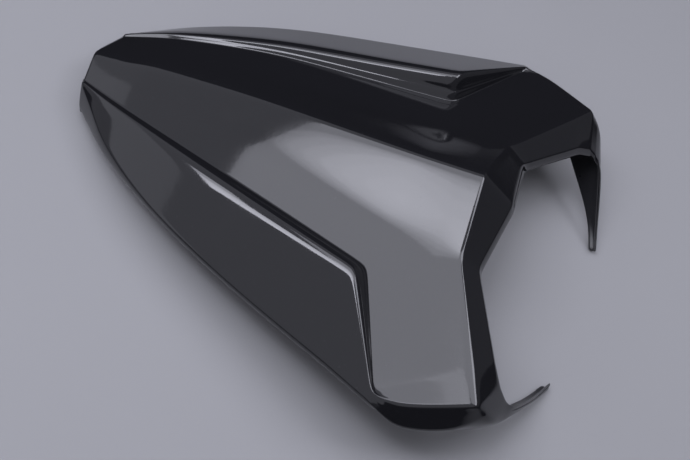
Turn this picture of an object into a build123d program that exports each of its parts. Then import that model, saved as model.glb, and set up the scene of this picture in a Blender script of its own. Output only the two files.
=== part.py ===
"""Motorbike seat cowl: one moulded shell of gloss plastic that covers a pillion seat.

The shell is drawn in its own mould frame, in millimetres: Y runs from the tips of the
two front claws to the tail, Z is up and X is across. It is then laid down as it rests
on a table, on the two claw tips and on the hem of the tail.
"""
from build123d import *
import math
import os

# Wall and rounding
WALL = 3.0
RIDGE_RADIUS = 16.0
LIP_RADIUS = 2.6

# Stations along the shell, measured from the claw tips
NOSE_Y = 18.0
TOE_Y = 42.0
FLANK_Y = 66.0
NOTCH_Y = 86.0
CORNER_Y = 117.0
HALF_Y = 180.0
MIDDLE_Y = 230.0
BACK_Y = 268.0
REAR_Y = 302.0
HEEL_Y = 318.0
TAIL_Y = 336.0
END_Y = 356.0

# Crown line of the shell
CROWN_FRONT_Z = 108.0
CROWN_MIDDLE_Z = 111.5
CROWN_REAR_Z = 110.0
CROWN_TAIL_Z = 105.6
CROWN_END_Z = 103.6

# Tail: where its rear face meets the crown, its sweep and lean, and the height of its hem
TAIL_POINT_Y = 342.0
TAIL_SWEEP = 0.25
TAIL_LEAN = 0.12
TAIL_HEM_Z = 85.0

# Half-width of the rim
RIM_FLANK_X = 144.0
RIM_CORNER_X = 132.5
RIM_HALF_X = 114.0
RIM_MIDDLE_X = 97.0
RIM_BACK_X = 80.0
RIM_REAR_X = 59.0
RIM_TAIL_X = 27.0

# Front face of the arch: its outer edge, and how far the return reaches down and forward
BROW = Vector(0, 75, CROWN_FRONT_Z)
SHOULDER = Vector(46, 71, 88)
HIP = Vector(119, 33.5, 66.7)
BROW_RETURN = Vector(0, -21, -19)
SHOULDER_RETURN = Vector(-5, -12, -9.4)
ARCH_HIP = (106.0, 55.0)
ARCH_FOOT = (150.0, 50.0)
HIP_WAY = Vector(-11, -11.5, -4)

# Front claws, each a blade that curls in under the seat
CLAW_THICK = 3.4
CLAW_ROOT = Vector(122.5, 32, 60)
CLAW_KNEE = Vector(118, 25, 46)
CLAW_TIP_X = 55.0
CLAW_TIP_THICK = 2.2

# Screw bosses under the crown, square to the table
BOSS_DIAMETER = 11.0
BOSS_BORE = 4.2
BOSS_BORE_DEPTH = 12.0
BOSS_SPACING_X = 44.0
BOSS_SPACING_Y = 80.0
BOSS_CENTRE_Y = 30.0
BOSS_FACE_Z = 24.0
BOSS_BURY = 1.2

LOW_Z = -50.0
REACH = 400.0


def mirrored(point):
    """The same point on the other side of the middle plane."""
    return Vector(-point.X, point.Y, point.Z)


def base_stations():
    """Roof and wings: Y, then crown, crease, foot, roll, shoulder and rim as (x, z)."""
    return [
        (NOSE_Y, (0, CROWN_FRONT_Z), (53, 86.5), (80, 76), (98, 66.5), (107, 63), (114, 51)),
        (TOE_Y, (0, CROWN_FRONT_Z), (50, 87), (83, 77), (117, 68.5), (127, 65), (133.5, 55)),
        (FLANK_Y, (0, CROWN_FRONT_Z), (47, 88), (81, 77.2), (130, 69.5), (139, 66),
         (RIM_FLANK_X, 57.5)),
        (NOTCH_Y, (0, CROWN_FRONT_Z), (45, 88.6), (78, 76.6), (132, 70.4), (139.5, 69), (142.4, 64)),
        (CORNER_Y, (0, CROWN_FRONT_Z), (41, 89.2), (71.8, 75.8), (122, 70.6), (128, 70), (131, 67)),
        (MIDDLE_Y, (0, CROWN_MIDDLE_Z), (27, 103.8), (52.6, 97.4), (85, 86), (90, 83), (94.5, 79)),
        (REAR_Y, (0, CROWN_REAR_Z), (18, 106.4), (34.8, 102), (50, 95), (54, 92), (57, 86)),
        (TAIL_Y, (0, CROWN_TAIL_Z), (12, 103.4), (23, 101), (26, 98.5), (28, 96), (30, 90)),
        (END_Y, (0, CROWN_END_Z), (9, 101.8), (17, 100), (20, 98), (22, 96), (24, 90)),
    ]


def panel_stations():
    """Raised side panel: Y, then foot, ledge, lip, rim and hem as (x, z), and the lip's radius."""
    return [
        (NOTCH_Y, (137, 68), (137.4, 70.4), (138.6, 71.4), (142.2, 69), (142.6, 65), 0.4),
        (CORNER_Y, (71.8, 75.8), (74.2, 82.6), (78.6, 101), (RIM_CORNER_X, 73),
         (RIM_CORNER_X + 0.4, 68.4), LIP_RADIUS),
        (HALF_Y, (61, 89), (62.6, 93), (66, 104.4), (RIM_HALF_X, 79), (RIM_HALF_X + 0.4, 74.4),
         LIP_RADIUS),
        (MIDDLE_Y, (52.6, 97.4), (53.6, 99.4), (56, 107), (RIM_MIDDLE_X, 86),
         (RIM_MIDDLE_X + 0.4, 81.4), LIP_RADIUS),
        (BACK_Y, (43.4, 100), (44.2, 101.2), (46, 106.6), (RIM_BACK_X, 90.5),
         (RIM_BACK_X + 0.8, 85.2), 2.0),
        (REAR_Y, (34.8, 102), (35.4, 102.7), (36.8, 105.4), (RIM_REAR_X, 94.4),
         (RIM_REAR_X + 3.4, 86.6), 1.2),
        (HEEL_Y, (29.6, 101.6), (30.2, 102.2), (31.4, 104.2), (43.5, 97.6), (50, 87.6), 0.8),
        (TAIL_Y, (23, 101), (23.5, 101.4), (24.4, 102.4), (RIM_TAIL_X, 100.6), (37, 88.6), 0.4),
        (END_Y, (16.4, 100), (16.9, 100.4), (17.8, 101.2), (20, 99.8), (32, 88), 0.4),
    ]


def corner_arc(before, corner, after, radius):
    """Start, middle and end of the arc that rounds a corner."""
    to_before, to_after = (before - corner).normalized(), (after - corner).normalized()
    half = math.radians(to_before.get_angle(to_after)) / 2
    reach = radius / math.tan(half)
    inward = (to_before + to_after).normalized()
    middle = corner + inward * (radius / math.sin(half) - radius)
    return corner + to_before * reach, middle, corner + to_after * reach


def section(y, points, radii):
    """A closed wire through (x, z) points, with an arc at each corner that has a radius."""
    corners = [Vector(x, y, z) for x, z in points]
    count = len(corners)
    edges, ends = [], []
    for i, corner in enumerate(corners):
        if i in radii:
            ends.append(corner_arc(corners[i - 1], corner, corners[(i + 1) % count], radii[i]))
        else:
            ends.append((corner, None, corner))
    for i, (start, middle, end) in enumerate(ends):
        if middle is not None:
            edges.append(Edge.make_three_point_arc(start, middle, end))
        edges.append(Edge.make_line(end, ends[(i + 1) % count][0]))
    return Wire(edges)


def both_sides(half):
    """Half of an outline and its mirror image, from the left rim to the right rim."""
    return [(-x, z) for x, z in half[:0:-1]] + list(half)


def base_outer(y, *half):
    """Everything under the roof and the wings."""
    low = (half[-1][0] - 0.4, LOW_Z)
    return section(y, both_sides(list(half) + [low]), {len(half): RIDGE_RADIUS})


def base_inner(y, *half):
    """The space one wall inside the roof and the wings, open past the rim."""
    crown, crease, foot, roll, shoulder, rim = half
    run, fall = rim[0] - shoulder[0], shoulder[1] - rim[1]
    slant = math.hypot(run, fall)
    past = (WALL * fall / slant + WALL) / run
    edge = (rim[0] - WALL * fall / slant + past * run, rim[1] - WALL * run / slant - past * fall)
    inner = [(0, crown[1] - 1.08 * WALL), (crease[0] - 0.3, crease[1] - 1.07 * WALL),
             (foot[0] - 0.3, foot[1] - 1.05 * WALL), (roll[0] - 0.3 * WALL, roll[1] - 1.05 * WALL),
             (shoulder[0] - 0.7 * WALL, shoulder[1] - 0.9 * WALL), edge,
             (edge[0], 2 * LOW_Z)]
    return section(y, both_sides(inner), {})


def panel_outer(y, foot, ledge, lip, rim, hem, radius):
    """Everything under the raised panel of the right side."""
    shelf = min(1.6, 0.4 + 0.06 * (lip[1] - foot[1]))
    root = (foot[0] - 0.3 * (ledge[0] - foot[0]), foot[1] - 0.3 * (ledge[1] - foot[1]))
    points = [(root[0], LOW_Z), root, ledge, (ledge[0] + shelf, ledge[1] + 0.2), lip, rim, hem,
              (hem[0], LOW_Z)]
    return section(y, points, {4: radius})


def panel_inner(y, foot, ledge, lip, rim, hem, radius):
    """The space one wall inside the raised panel, open below the hem."""
    slope = (lip[1] - rim[1]) / (rim[0] - lip[0])
    drop = WALL * math.hypot(1, slope)
    reach = min(0.9 * WALL, 0.4 * (rim[0] - lip[0]))
    top = (lip[0] + reach, lip[1] - reach * slope - drop)
    edge = (rim[0] - 0.5 * reach, rim[1] + 0.5 * reach * slope - drop)
    side = min(foot[0] + 1.5 * WALL, top[0])
    points = [(side, 2 * LOW_Z), (side, min(foot[1] - WALL, top[1] - 1)), top, edge,
              (hem[0] - WALL, min(hem[1], edge[1] - 0.5)), (hem[0] + 2 * WALL, hem[1] - 0.5),
              (hem[0] + 2 * WALL, 2 * LOW_Z)]
    return section(y, points, {})


def loft(wires):
    """A solid with straight lines between its sections."""
    return Solid.make_loft(wires, ruled=True)


def with_mirror(solid):
    """A right-hand solid and its left-hand twin."""
    return solid + mirror(solid, Plane.YZ)


def ahead_of(point, normal, set_back):
    """All space in front of a plane, moved back along its normal by set_back."""
    normal = normal.normalized()
    plane = Plane(point - normal * set_back, z_dir=normal)
    return plane * Pos(0, 0, REACH / 2) * Box(REACH, REACH, REACH)


def arch_front(set_back):
    """The space in front of the arch: two brow planes and two wing planes."""
    brow = BROW_RETURN.cross(SHOULDER - BROW)
    wing = (HIP - SHOULDER).cross(SHOULDER_RETURN) * -1
    brows = ahead_of(BROW, brow, set_back) + ahead_of(BROW, mirrored(brow), set_back)
    near_wing = ahead_of(SHOULDER, wing, set_back)
    far_wing = ahead_of(mirrored(SHOULDER), mirrored(wing), set_back)
    return brows & near_wing & far_wing


def arch_tunnel():
    """The opening under the arch, from side to side."""
    brow, shoulder = BROW + BROW_RETURN, SHOULDER + SHOULDER_RETURN
    half = [(0, brow.Z), (shoulder.X, shoulder.Z), ARCH_HIP, ARCH_FOOT, (ARCH_FOOT[0], 2 * LOW_Z)]
    face = Plane.XZ * make_face(Polyline(*both_sides(half), close=True))
    return Pos(0, CORNER_Y, 0) * extrude(face, CORNER_Y + NOTCH_Y)


def hip_front():
    """The space in front of the right hip, where the front face turns down into the claw."""
    return ahead_of(CLAW_ROOT, HIP_WAY.cross(CLAW_KNEE - CLAW_ROOT), 0)


def claw():
    """The right front claw, a blade that narrows as it curls in to its tip."""
    fronts = [CLAW_ROOT, CLAW_KNEE, Vector(106, 17.5, 28.5), Vector(84, 9, 12.5),
              Vector(CLAW_TIP_X, 0, 0.3)]
    rears = [Vector(142, 73, 60), Vector(139, 63, 46), Vector(120, 43, 30), Vector(91, 21, 14),
             Vector(CLAW_TIP_X + 3, 5, 0.3)]
    ways = [(-1, 0.3, 0.2), (-0.9, 0.4, 0.4), (-0.55, 0.4, 0.75), (-0.3, 0.3, 0.9), (-0.1, 0.2, 1)]
    thicks = [CLAW_THICK] * 4 + [CLAW_TIP_THICK]
    wires = []
    for front, rear, way, thick in zip(fronts, rears, ways, thicks):
        shift = Vector(*way).normalized() * thick
        wires.append(Wire.make_polygon([front, rear, rear + shift, front + shift]))
    return Solid.make_loft(wires)


def behind_tail(set_back):
    """The space behind the two rear faces, each moved forward by set_back."""
    normal = Vector(TAIL_SWEEP, 1, TAIL_LEAN)
    point = Vector(0, TAIL_POINT_Y, CROWN_TAIL_Z)
    return ahead_of(point, normal, set_back) + ahead_of(point, mirrored(normal), set_back)


def below_tail():
    """The space under the hem of the tail."""
    return Pos(0, END_Y, TAIL_HEM_Z - REACH / 2) * Box(REACH, 2 * (END_Y - TAIL_Y + 2 * WALL), REACH)


def shell():
    """The moulding in the mould frame, and everything under its outer skin."""
    base = loft([base_outer(*s) for s in base_stations()])
    panel = loft([panel_outer(*s) for s in panel_stations()])
    body = base + with_mirror(panel) - behind_tail(0)
    base_space = loft([base_inner(*s) for s in base_stations()])
    panel_space = loft([panel_inner(*s) for s in panel_stations()])
    space = base_space + with_mirror(panel_space) - behind_tail(WALL)
    front = arch_front(0) + with_mirror(hip_front())
    face = (base & arch_front(WALL)) - front - arch_tunnel()
    wall = body - space - front - below_tail()
    return wall + face + with_mirror(claw()), body


def rest_tilt():
    """How far the tail comes down for the shell to lie on its claw tips and its tail."""
    hem_y = TAIL_POINT_Y + TAIL_LEAN * (CROWN_TAIL_Z - TAIL_HEM_Z)
    return math.degrees(math.atan2(TAIL_HEM_Z, hem_y))


def cowl():
    """The whole moulding as it rests, with its screw bosses."""
    moulding, body = shell()
    lay = Rot(-rest_tilt(), 0, 0)
    moulding, body = lay * moulding, lay * (Pos(0, 0, -BOSS_BURY) * body)
    box = moulding.bounding_box()
    place = Pos(0, -(box.min.Y + box.max.Y) / 2, -box.min.Z)
    moulding, body = place * moulding, place * body
    for spot in GridLocations(BOSS_SPACING_X, BOSS_SPACING_Y, 2, 2):
        up = Pos(0, BOSS_CENTRE_Y, BOSS_FACE_Z) * spot
        boss = up * Pos(0, 0, REACH / 8) * Cylinder(BOSS_DIAMETER / 2, REACH / 4)
        bore = up * Pos(0, 0, BOSS_BORE_DEPTH / 2) * Cylinder(BOSS_BORE / 2, BOSS_BORE_DEPTH)
        moulding = moulding + (boss & body) - bore
    return moulding


os.makedirs("parts", exist_ok=True)
result = cowl()
export_step(result, "parts/cowl_shell.step")
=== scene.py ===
"""Looks for the seat cowl: one gloss black moulded shell on a plain pale floor.

The shell is drawn as one quad cage in the part's mould frame, in millimetres, rounded by
subdivision, and laid down by the same turn as the CAD solid.
"""

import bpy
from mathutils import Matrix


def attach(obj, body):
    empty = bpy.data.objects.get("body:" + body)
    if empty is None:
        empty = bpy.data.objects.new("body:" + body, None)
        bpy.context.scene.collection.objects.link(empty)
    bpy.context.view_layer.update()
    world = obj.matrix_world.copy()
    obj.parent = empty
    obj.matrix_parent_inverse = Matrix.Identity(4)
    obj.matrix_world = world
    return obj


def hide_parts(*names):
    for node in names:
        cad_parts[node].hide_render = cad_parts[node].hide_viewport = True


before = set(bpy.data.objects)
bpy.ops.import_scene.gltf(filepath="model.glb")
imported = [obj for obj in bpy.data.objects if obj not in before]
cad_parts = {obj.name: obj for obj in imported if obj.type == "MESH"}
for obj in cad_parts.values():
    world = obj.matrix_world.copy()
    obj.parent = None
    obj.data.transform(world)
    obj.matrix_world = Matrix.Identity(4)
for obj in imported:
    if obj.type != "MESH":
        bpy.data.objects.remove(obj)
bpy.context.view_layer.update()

import math

import bmesh
import bpy
from mathutils import Matrix, Vector

NODE = "cowl_shell"
MM = 0.001
TINY = 1e-6
DOWN = Vector((0, 0, -1))

# Wall of the shell, and of the claw from its knee to its tip
WALL = 3.0
CLAW_WALLS = [2.6, 2.2, 2.0, 1.8, 1.8, 1.8]

# Rounding: how far the support points stand from an edge, where less makes a crisper edge
REACH = 2.2
RIDGE_REACH = 6.0
SHOULDER_REACH = 7.0
LIP_REACH = 4.0
PANEL_REACH = 3 * LIP_REACH
FRONT_REACH = 5.5
ROLL_REACH = 2.6
TIP_REACH = 3.0

# Longest reach as a share of the way, how far the ridge itself is eased down, and rounds of subdivision
LONGEST_REACH = 0.33
RIDGE_DROP = 0.5
SUBDIVISION = 3

# Rest: tail point, its hem, sweep and lean, and where the laid shell sits in the frame
TAIL_POINT = Vector((0, 342, 105.6))
TAIL_HEM_Z = 85.0
TAIL_SWEEP = 0.25
TAIL_LEAN = 0.12
TILT = math.atan2(TAIL_HEM_Z, TAIL_POINT.y + TAIL_LEAN * (TAIL_POINT.z - TAIL_HEM_Z))
LAY = Matrix.Rotation(-TILT, 4, "X")
SHIFT = Vector((0, -178.65, 0.91))

# Columns of the cage, from the ridge to the hem, and the row of the notch at the waist
RIDGE_COL, CREASE_COL, FOOT_COL, LIP_COL, HEM_COL = 0, 3, 7, 12, 18
NOTCH_ROW = 10

# Where the free columns lie: on the roof, on the panel, on the wing and on the face below the hip
UPPER_ROOF_SHARE = 0.62
LOWER_ROOF_SHARE = 0.45
FOOT_SHARE = 0.82
FRONT_FOOT_SHARE = 0.7
PANEL_SHARE = 0.6
WING_SHARES = (0.4, 0.75)
FACE_SHARES = (0.4, 0.55, 0.7, 0.85)

# Raised panel: y, crown z, then crease, foot, ledge, lip, rim and hem as (x, z)
STATIONS = [
    (117, 108.0, (41, 89.2), (72.5, 83.5), (75.4, 88.3), (82, 99.8), (132.5, 73), (132.9, 68.4)),
    (180, 110.0, (33.2, 97.3), (60.5, 92.5), (63, 95.4), (69, 102.2), (114, 79), (114.4, 74.4)),
    (230, 111.5, (27, 103.8), (51.5, 99.8), (53.6, 101.4), (58.8, 105.2), (97, 86), (97.4, 81.4)),
    (268, 110.7, (22.3, 105.2), (42.6, 101.8), (44.3, 102.8), (48.4, 105.3), (80, 90.5), (80.8, 85.2)),
    (302, 110.0, (18, 106.4), (34, 102.8), (35.4, 103.4), (38.8, 104.9), (59, 94.4), (62.4, 86.6)),
    (318, 107.9, (15.2, 105), (29, 102.2), (30.2, 102.7), (33, 103.9), (43.5, 97.6), (50, 87.6)),
    (336, 105.6, (12, 103.4), (22.6, 101.3), (23.4, 101.6), (25.2, 102.2), (27, 100.6), (37, 88.6)),
]

# Notch, where the panel's front wall dies away, in the same order, and the valley from crease to foot
NOTCH = (86, 108.0, (45, 88.6), (135.5, 69.9), (137, 70.2), (138.4, 71.4), (142.3, 68.9), (142.7, 64.5))
VALLEY = [Vector((72, 86, 81.6)), Vector((103, 86, 75.3))]

# Ledge on the panel's wall: its least and most width, its growth with the step, and its rise
LEDGE_LEAST = 0.4
LEDGE_MOST = 1.0
LEDGE_GROWTH = 0.04
LEDGE_RISE = 0.2

# How far the front corner of the panel leans back, for the columns from its foot to past its lip
CORNER_LEAN = {6: 0.6, 7: 0.6, 8: 0.8, 9: 1.1, 10: 1.3, 11: 1.6, 12: 2.6, 13: 2.8, 14: 2.6, 15: 1.0}

# Rows around that corner: shares of the way from the notch to it, and from it to the next station
FAN_SHARES = (0.1, 0.5)
AHEAD_SHARE, AHEAD_ROOF_SHARE = 0.86, 0.72
BEHIND_SHARE, BEHIND_ROOF_SHARE = 0.11, 0.3

# Front edge and the inner edge of the front band: brow, shoulder, wing, hip, rim, hem
FRONT_EDGE = [(0, 75, 108), (46, 71, 88), (103, 41.7, 71.4), (120, 33, 66.6), (119.6, 27.5, 58.5),
              (118.4, 23.4, 52)]
BAND_EDGE = [(0, 55, 90), (43.5, 60, 79.4), (88, 33.2, 62), (97, 26, 53.8), (99.6, 21, 46.5),
             (99.2, 19.2, 43.2)]

# Wing rows between the front edge and the notch: share of the way, hip, rim and hem
WING_ROWS = [
    (0.30, (124.6, 43, 67), (134, 42, 53), (128.5, 39, 48)),
    (0.60, (135.4, 65.7, 68.2), (144.2, 66, 55.5), (138.5, 63, 49.5)),
    (0.82, (137.6, 75.6, 69.2), (144, 75.5, 59), (138.6, 72.5, 53.5)),
]

# Way down of the rolled inner edge of the arch: over the roof and wing, at the hip, on the claw
ROLL_WING = Vector((0, -2.4, -7.6))
ROLL_HIP = Vector((-1.5, 0.4, -2.6))
ROLL_CLAW = Vector((0.6, 1.2, -1.0))

# Claw, from its knee to its tip, one row of points for each front row
CLAW = [
    [(98, 17, 40.4), (96, 15, 37.2), (81.6, 9.2, 23.4), (69, 5.1, 13), (54.4, 0.6, 5.2)],
    [(114.4, 20.7, 43.5), (102.4, 15.6, 35.2), (83.5, 8.7, 21), (71, 4.5, 9.8), (57.2, 0, 1.2)],
    [(123.1, 31.8, 43.2), (106.8, 23.1, 32.4), (85.2, 11.7, 18.3), (71.3, 6.1, 8.5), (57.6, 1.7, 0.7)],
    [(130, 45.7, 43.1), (110, 32.2, 30), (86.4, 15.6, 15.8), (71.1, 8.1, 7.6), (57, 3.4, 0.6)],
    [(133.5, 58, 43), (112, 40, 28.5), (87, 19, 14), (71, 9.9, 7), (58, 5.4, 0.7)],
]

# Inner skin behind the step: the step it starts and is full at, and its way in and down, in walls
STEP_LEAST = 1.5
STEP_FULL = 10
STEP_IN = 1.1
STEP_DOWN = 1.05
LIP_DOWN = 1.5

# Screw bosses under the crown, in the rest frame; the probe for the wall above starts at so many metres
BOSS_RADIUS = 5.5
BOSS_EDGE = 0.6
BOSS_COLLAR = 6
BOSS_SPACING = (44.0, 80.0)
BOSS_CENTRE_Y = 30.0
BOSS_FACE_Z = 24.0
BOSS_LET_IN = 0.6 * WALL
BOSS_SIDES = 16
PROBE_Z = 1.0
BORE_RADIUS = 2.1
BORE_DEPTH = 12.0
BORE_FLARE = 0.5
BORE_MOUTH = 0.9

# Camera in the mould frame: place, pitch, heading, lens and sensor
CAMERA_AT = Vector((-344, 10, 502))
CAMERA_PITCH = math.radians(52.7)
CAMERA_HEADING = math.radians(24.0)
CAMERA_LENS = 46.96
CAMERA_SENSOR = 36.0

# Colours, each pair mixed by noise
GLOSS_TINTS = (0.011, 0.011, 0.013, 1), (0.045, 0.045, 0.05, 1)
SATIN_TINTS = (0.013, 0.013, 0.015, 1), (0.022, 0.022, 0.025, 1)
FLOOR_TINTS = (0.325, 0.325, 0.335, 1), (0.355, 0.355, 0.365, 1)
ROOM_TINT = (0.008, 0.008, 0.009, 1)
LIGHT_TINT = (0.88, 0.89, 1.0)

# Sockets of a colour mix: amount, first colour, second colour and result
MIX_AMOUNT, MIX_FIRST, MIX_SECOND, MIX_RESULT = 0, 6, 7, 2

# Floor, in metres from its middle to its sides
FLOOR_HALF = 20.0

# Soft box in metres: its height, the width of a graded strip, two runs of strips that dim from left
# to right as (left, front, back, brightest, fall, count), and plain fields as (left, width, front,
# back, radiance)
BOX_Z = 1.2
STRIP = 0.041
GRADED_RUNS = [(-0.42, 0.08, 1.15, 8.2, 0.42, 7), (-0.133, -0.1, 0.65, 4.6, 0.75, 3)]
PLAIN_FIELDS = [
    (-0.01, 0.41, -0.6, 0.65, 2.15),
    (-0.133, 0.2, 0.86, 1.15, 3.6),
    (0.05, 0.7, -1.15, -0.62, 4.5),
]

# Wide lights in metres and watts: name, place, aim, size and power
ROOM_LIGHTS = [
    ("ceiling", (-2.5, 2.2, 3.0), (-2.5, 2.2, 0), (11.0, 8.8), 168),
    ("screen", (-0.8, 3.2, 1.6), (-0.8, 0, 1.6), (3.6, 2.1), 8),
    ("front_ceiling", (1.5, -7.2, 3.0), (1.5, -7.2, 0), (18.0, 10.0), 66),
]


def share(a, b, part):
    """The point a given share of the way from a to b."""
    return a + (b - a) * part


def beside(a, b, reach=REACH):
    """A point near a on the way to b, never past a third of the way."""
    length = (b - a).length
    return a.copy() if length < TINY else share(a, b, min(reach / length, LONGEST_REACH))


def between(a, b, part):
    """A whole row a share of the way from one row to the next."""
    return [share(p, q, part) for p, q in zip(a, b)]


def edge_row(a, b, reach=REACH):
    """A row close beside row a, on the side of row b, that tightens its edge."""
    return [beside(p, q, reach) for p, q in zip(a, b)]


def vectors(points):
    """Plain points as vectors."""
    return [Vector(p) for p in points]


def roof(crown, crease, foot, foot_share=FOOT_SHARE):
    """The columns from the ridge to the foot of the panel."""
    upper = [crown + DOWN * RIDGE_DROP, beside(crown, crease, RIDGE_REACH),
             share(crown, crease, UPPER_ROOF_SHARE), crease]
    lower = [share(crease, foot, LOWER_ROOF_SHARE), share(crease, foot, foot_share),
             beside(foot, crease), foot]
    return upper + lower


def station_row(y, crown, *points):
    """One cross row over the roof, the step and the raised panel."""
    crease, foot, ledge, lip, rim, hem = [Vector((x, y, z)) for x, z in points]
    ledge_width = min(LEDGE_MOST, LEDGE_LEAST + LEDGE_GROWTH * (lip.z - foot.z))
    shelf = ledge + Vector((ledge_width, 0, LEDGE_RISE))
    wall = [beside(foot, ledge), ledge, shelf, beside(shelf, lip), beside(lip, shelf, LIP_REACH)]
    panel = [beside(lip, rim, LIP_REACH), beside(lip, rim, PANEL_REACH), share(lip, rim, PANEL_SHARE)]
    return roof(Vector((0, y, crown)), crease, foot) + wall + panel + [beside(rim, lip), rim, hem]


def front_row(brow, shoulder, wing, hip, rim, hem):
    """One row of the front: the roof and wing, then the crisp hip and the face below it."""
    row = roof(brow, shoulder, wing, FRONT_FOOT_SHARE)
    row[CREASE_COL - 1] = beside(shoulder, brow, SHOULDER_REACH)
    row[CREASE_COL + 1] = beside(shoulder, wing, SHOULDER_REACH)
    row += [share(wing, hip, part) for part in WING_SHARES]
    row += [beside(hip, wing), hip, beside(hip, rim)]
    return row + [share(hip, rim, part) for part in FACE_SHARES] + [rim, hem]


def wing_rows(edge, notch):
    """The rows of the wing between the front edge and the notch."""
    rows = []
    for part, hip, rim, hem in WING_ROWS:
        marks = [share(edge[j], notch[j], part) for j in (RIDGE_COL, CREASE_COL, FOOT_COL)]
        row = front_row(*marks, *vectors((hip, rim, hem)))
        row[:FOOT_COL] = between(edge, notch, part)[:FOOT_COL]
        rows.append(row)
    return rows


def rolled_row(band):
    """The inner edge of the arch, rolled down from the inner edge of the front band."""
    row = []
    for j, point in enumerate(band):
        if j < LIP_COL:
            row.append(point + ROLL_WING)
        elif j <= HEM_COL:
            row.append(point + ROLL_HIP)
        else:
            row.append(point + ROLL_CLAW)
    return row


def front_rows(notch):
    """The rows of the front band and the wing, each with its part of the claw."""
    band = front_row(*vectors(BAND_EDGE))
    edge = front_row(*vectors(FRONT_EDGE))
    wing = wing_rows(edge, notch)
    for row, claw in zip([band, edge] + wing, CLAW):
        *blade, tip = vectors(claw)
        row.extend(blade + [beside(tip, blade[-1], TIP_REACH), tip])
    rolled = rolled_row(band)
    inner = [rolled, edge_row(band, rolled), band, edge_row(band, edge, ROLL_REACH)]
    outer = [edge_row(edge, band, FRONT_REACH), edge, edge_row(edge, wing[0], FRONT_REACH)]
    return inner + outer + wing


def corner_rows(notch, corner, behind):
    """The rows from the notch to just behind the front corner of the panel."""
    for column, lean in CORNER_LEAN.items():
        corner[column].y += lean
    before = between(notch, corner, AHEAD_SHARE)
    after = between(corner, behind, BEHIND_SHARE)
    roof_end = FOOT_COL - 1
    before[:roof_end] = between(notch, corner, AHEAD_ROOF_SHARE)[:roof_end]
    after[:roof_end] = between(corner, behind, BEHIND_ROOF_SHARE)[:roof_end]
    fan = [between(notch, corner, part) for part in FAN_SHARES]
    return [notch] + fan + [before, corner, after]


def on_tail(x, z):
    """A point on the swept and leaning plane of the tail."""
    return Vector((x, TAIL_POINT.y - TAIL_SWEEP * x - TAIL_LEAN * (z - TAIL_POINT.z), z))


def tail_rows(before, last):
    """The edge of the tail, after the row before it, and the rear face down to its hem."""
    tail = [on_tail(p.x, p.z) for p in last]
    hem = [on_tail(p.x, TAIL_HEM_Z) for p in last]
    return [edge_row(tail, before), tail, edge_row(tail, hem), edge_row(hem, tail), hem]


def cage_rows():
    """All rows of the right half, from the rolled inner edge of the arch to the tail's hem."""
    notch = station_row(*NOTCH)
    notch[CREASE_COL + 1:FOOT_COL - 1] = VALLEY
    corner, *stations, last = [station_row(*station) for station in STATIONS]
    rows = front_rows(notch) + corner_rows(notch, corner, stations[0])
    return rows + stations + tail_rows(stations[-1], last)


def wall_way(rows, i):
    """The way into the raised panel from its foot, level, at row i."""
    here, after, before = (rows[k][FOOT_COL] for k in (i, min(i + 1, len(rows) - 1), i - 1))
    way = Vector((0, 0, 0))
    for run in (after - here, here - before):
        flat = Vector((run.y, -run.x, 0))
        if flat.length > TINY:
            way += flat.normalized()
    return way.normalized()


def inner_offset(rows, i, j, normal):
    """How the inner skin lies from the outer one, so that it never crosses itself."""
    step = rows[i][LIP_COL].z - rows[i][FOOT_COL].z
    if i > NOTCH_ROW and FOOT_COL - 1 <= j <= LIP_COL + 2 and step > STEP_LEAST:
        part = min(1.0, step / STEP_FULL)
        deep = STEP_DOWN if j < LIP_COL else LIP_DOWN
        return WALL * (wall_way(rows, i) * part * STEP_IN + DOWN * deep)
    return normal * -(CLAW_WALLS[j - HEM_COL - 1] if j > HEM_COL else WALL)


def outer_skin(bm, rows):
    """The outer skin of both halves, as a grid of (right, left) corners; the ridge is shared."""
    grid = []
    for row in rows:
        grid.append([(bm.verts.new(p), bm.verts.new((-p.x, p.y, p.z)) if j else None)
                     for j, p in enumerate(row)])

    def corner(i, j, side):
        return grid[i][j][side] or grid[i][j][0]

    for i in range(len(rows) - 1):
        for j in range(min(len(rows[i]), len(rows[i + 1])) - 1):
            for side in (0, 1):
                around = ((i, j), (i, j + 1), (i + 1, j + 1), (i + 1, j))
                quad = [corner(*spot, side) for spot in around]
                bm.faces.new(quad if side == 0 else quad[::-1])
    bm.normal_update()
    return grid


def skin(bm, rows):
    """Outer and inner skin of both halves, joined along every free edge."""
    grid = outer_skin(bm, rows)
    outer = list(bm.faces)
    free = [e for e in bm.edges if e.is_boundary]
    inside = {}
    for i, row in enumerate(rows):
        for j in range(len(row)):
            right, left = grid[i][j]
            move = inner_offset(rows, i, j, right.normal.copy())
            if j == RIDGE_COL:
                move.x = 0
            inside[right] = bm.verts.new(right.co + move)
            if left:
                inside[left] = bm.verts.new(left.co + Vector((-move.x, move.y, move.z)))
    for face in outer:
        bm.faces.new([inside[v] for v in reversed(face.verts)]).material_index = 1
    for edge in free:
        a, b = edge.verts
        bm.faces.new((a, b, inside[b], inside[a]))
    bmesh.ops.recalc_face_normals(bm, faces=bm.faces)


def roof_height(x, y):
    """Height of the CAD solid's skin above a place on the floor."""
    hit, place, _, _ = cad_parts[NODE].ray_cast((x * MM, y * MM, PROBE_Z), DOWN)
    return place.z / MM if hit else BOSS_FACE_Z


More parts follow.
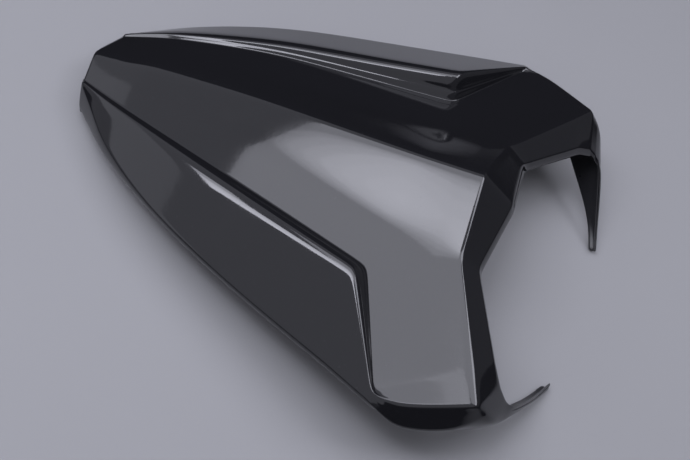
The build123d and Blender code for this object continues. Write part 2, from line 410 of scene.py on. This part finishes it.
def boss(bm, x, y):
    """One screw boss with a blind pilot hole, let into the wall above it."""
    bore = [(BORE_RADIUS, BORE_DEPTH), (BORE_RADIUS, BORE_DEPTH - BOSS_EDGE), (BORE_RADIUS, BORE_MOUTH),
            (BORE_RADIUS + BORE_FLARE, 0)]
    post = [(BOSS_RADIUS - BOSS_EDGE, 0), (BOSS_RADIUS, BOSS_EDGE), (BOSS_RADIUS, BOSS_COLLAR),
            (BOSS_RADIUS, None)]
    loops = []
    for radius, depth in bore + post:
        loop = []
        for k in range(BOSS_SIDES):
            angle = 2 * math.pi * k / BOSS_SIDES
            px, py = x + radius * math.cos(angle), y + radius * math.sin(angle)
            pz = roof_height(px, py) - BOSS_LET_IN if depth is None else BOSS_FACE_Z + depth
            loop.append(bm.verts.new((px * MM, py * MM, pz * MM)))
        loops.append(loop)
    made = [bm.faces.new(loops[0])]
    for low, high in zip(loops, loops[1:]):
        for k in range(BOSS_SIDES):
            n = (k + 1) % BOSS_SIDES
            made.append(bm.faces.new((low[k], high[k], high[n], low[n])))
    for face in made:
        face.material_index = 1


def laid(point):
    """A mould point in the frame of the part at rest, in metres."""
    return (LAY @ point + SHIFT) * MM


def cowl():
    """The whole moulding as one mesh."""
    bm = bmesh.new()
    skin(bm, cage_rows())
    for vert in bm.verts:
        vert.co = laid(vert.co)
    for side in (-0.5, 0.5):
        for end in (-0.5, 0.5):
            boss(bm, side * BOSS_SPACING[0], BOSS_CENTRE_Y + end * BOSS_SPACING[1])
    for face in bm.faces:
        face.smooth = True
    mesh = bpy.data.meshes.new("seat_cowl")
    bm.to_mesh(mesh)
    bm.free()
    mesh.materials.append(gloss_black())
    mesh.materials.append(satin_black())
    piece = bpy.data.objects.new("seat_cowl", mesh)
    bpy.context.scene.collection.objects.link(piece)
    rounding = piece.modifiers.new("rounding", "SUBSURF")
    rounding.levels = rounding.render_levels = SUBDIVISION
    return piece


def nodes_of(name):
    """A new material with its nodes, links and shader."""
    material = bpy.data.materials.new(name)
    material.use_nodes = True
    tree = material.node_tree
    return material, tree.nodes, tree.links, tree.nodes["Principled BSDF"]


def noise(nodes, links, scale, detail, stretch=(1, 1, 1)):
    """Noise in the object's own metres."""
    place = nodes.new("ShaderNodeTexCoord")
    turn = nodes.new("ShaderNodeMapping")
    turn.inputs["Scale"].default_value = stretch
    texture = nodes.new("ShaderNodeTexNoise")
    texture.inputs["Scale"].default_value = scale
    texture.inputs["Detail"].default_value = detail
    links.new(place.outputs["Object"], turn.inputs["Vector"])
    links.new(turn.outputs["Vector"], texture.inputs["Vector"])
    return texture.outputs["Fac"]


def ranged(nodes, links, value, low, high, start=0.3, end=0.7):
    """A noise value spread over a range."""
    spread = nodes.new("ShaderNodeMapRange")
    for name, number in (("From Min", start), ("From Max", end), ("To Min", low), ("To Max", high)):
        spread.inputs[name].default_value = number
    links.new(value, spread.inputs["Value"])
    return spread.outputs["Result"]


def tinted(nodes, links, shader, amount, tints):
    """Two colours on a shader, mixed by an amount that varies over the surface."""
    tint = nodes.new("ShaderNodeMix")
    tint.data_type = "RGBA"
    tint.inputs[MIX_FIRST].default_value, tint.inputs[MIX_SECOND].default_value = tints
    links.new(amount, tint.inputs[MIX_AMOUNT])
    links.new(tint.outputs[MIX_RESULT], shader.inputs["Base Color"])


def bumped(nodes, links, shader, height, strength, distance):
    """A fine relief on a shader."""
    bump = nodes.new("ShaderNodeBump")
    bump.inputs["Strength"].default_value = strength
    bump.inputs["Distance"].default_value = distance
    links.new(height, bump.inputs["Height"])
    links.new(bump.outputs["Normal"], shader.inputs["Normal"])


def gloss_black():
    """Lacquered black plastic: faint orange peel, a little dust and uneven polish."""
    material, nodes, links, shader = nodes_of("gloss_black")
    shader.inputs["IOR"].default_value = 1.5
    shader.inputs["Coat Weight"].default_value = 0.4
    shader.inputs["Coat Roughness"].default_value = 0.03
    polish = noise(nodes, links, scale=35, detail=4)
    links.new(ranged(nodes, links, polish, low=0.05, high=0.11), shader.inputs["Roughness"])
    specks = noise(nodes, links, scale=900, detail=2)
    dust = ranged(nodes, links, specks, low=0.0, high=1.0, start=0.72, end=0.8)
    tinted(nodes, links, shader, dust, GLOSS_TINTS)
    peel = noise(nodes, links, scale=260, detail=2)
    bumped(nodes, links, shader, peel, strength=0.04, distance=0.0004)
    return material


def satin_black():
    """Bare moulded plastic of the underside: finely grained, with flow streaks."""
    material, nodes, links, shader = nodes_of("satin_black")
    streak = noise(nodes, links, scale=40, detail=3, stretch=(1, 0.15, 1))
    tinted(nodes, links, shader, streak, SATIN_TINTS)
    links.new(ranged(nodes, links, streak, low=0.24, high=0.38), shader.inputs["Roughness"])
    grain = noise(nodes, links, scale=1100, detail=2)
    bumped(nodes, links, shader, grain, strength=0.12, distance=0.0002)
    return material


def pale_floor():
    """A plain pale sheet."""
    material, nodes, links, shader = nodes_of("pale_floor")
    tinted(nodes, links, shader, noise(nodes, links, scale=3, detail=3), FLOOR_TINTS)
    shader.inputs["Roughness"].default_value = 0.7
    return material


def floor():
    """A wide flat sheet under the part."""
    mesh = bpy.data.meshes.new("floor")
    corners = [(x * FLOOR_HALF, y * FLOOR_HALF, 0) for x, y in ((-1, -1), (1, -1), (1, 1), (-1, 1))]
    mesh.from_pydata(corners, [], [(0, 1, 2, 3)])
    mesh.materials.append(pale_floor())
    sheet = bpy.data.objects.new("floor", mesh)
    bpy.context.scene.collection.objects.link(sheet)


def soft_light(name, place, aim, size, watts):
    """A soft light that faces a point."""
    data = bpy.data.lights.new(name, "AREA")
    data.shape = "RECTANGLE"
    data.size, data.size_y = size
    data.energy = watts
    data.color = LIGHT_TINT
    lamp = bpy.data.objects.new(name, data)
    facing = (Vector(aim) - Vector(place)).to_track_quat("-Z", "Y").to_matrix().to_4x4()
    lamp.matrix_world = Matrix.Translation(place) @ facing
    lamp.visible_camera = False
    bpy.context.scene.collection.objects.link(lamp)


def box_fields():
    """The fields of the soft box: the graded strips, then the plain ones."""
    fields = []
    for left, front, back, brightest, fall, count in GRADED_RUNS:
        for k in range(count):
            fields.append((left + STRIP * k, STRIP, front, back, brightest - fall * k))
    return fields + PLAIN_FIELDS


def lights():
    """A graded soft box overhead, two dim ceilings, a back screen and a dark room."""
    for k, (left, width, front, back, radiance) in enumerate(box_fields()):
        place = Vector((left + width / 2, (front + back) / 2, BOX_Z))
        depth = back - front
        soft_light(f"box_{k}", place, place + DOWN, (width, depth), radiance * math.pi * width * depth)
    for light in ROOM_LIGHTS:
        soft_light(*light)
    world = bpy.data.worlds.new("room")
    world.use_nodes = True
    world.node_tree.nodes["Background"].inputs["Color"].default_value = ROOM_TINT
    bpy.context.scene.world = world


def camera():
    """The photograph's own view."""
    cos_p, sin_p = math.cos(CAMERA_PITCH), math.sin(CAMERA_PITCH)
    ahead = Vector((math.cos(CAMERA_HEADING) * cos_p, math.sin(CAMERA_HEADING) * cos_p, -sin_p))
    right = Vector((math.sin(CAMERA_HEADING), -math.cos(CAMERA_HEADING), 0))
    up = right.cross(ahead)
    turn = Matrix((right, up, -ahead)).transposed().to_4x4()
    data = bpy.data.cameras.new("photo_view")
    data.lens = CAMERA_LENS
    data.sensor_width = CAMERA_SENSOR
    eye = bpy.data.objects.new("photo_view", data)
    eye.matrix_world = Matrix.Translation(laid(CAMERA_AT)) @ LAY @ turn
    bpy.context.scene.collection.objects.link(eye)
    bpy.context.scene.camera = eye


shell = cowl()
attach(shell, "root")
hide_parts(NODE)
floor()
lights()
camera()
bpy.context.scene.view_settings.view_transform = "Standard"
